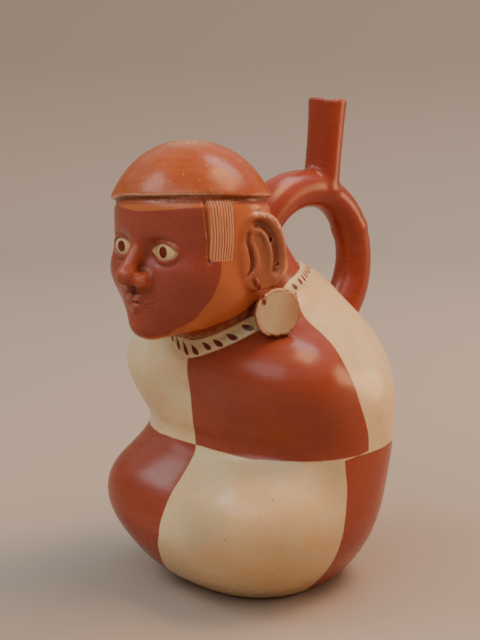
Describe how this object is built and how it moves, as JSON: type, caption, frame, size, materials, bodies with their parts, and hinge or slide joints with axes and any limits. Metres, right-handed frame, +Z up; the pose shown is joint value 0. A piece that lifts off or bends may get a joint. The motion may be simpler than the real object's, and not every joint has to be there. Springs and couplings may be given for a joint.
{
  "type": "stirrup spout vessel",
  "caption": "Hollow fired-clay bottle shaped as a seated figure in a cap, with disc ear ornaments and a stirrup handle and spout at the back.",
  "frame": {"origin": "centre of the flat underside, on the surface that the vessel stands on", "axes": "+Z up along the height, the figure faces -Y, its left hand side is +X, the stirrup and spout are at +Y"},
  "size_m": [0.1262, 0.162, 0.2263],
  "materials": {
    "burnished_slip": "fired clay under burnished slip: brick red, orange brown and cream areas with a soft gloss"
  },
  "bodies": {
    "root": {"vessel": "burnished_slip"}
  },
  "joints": []
}
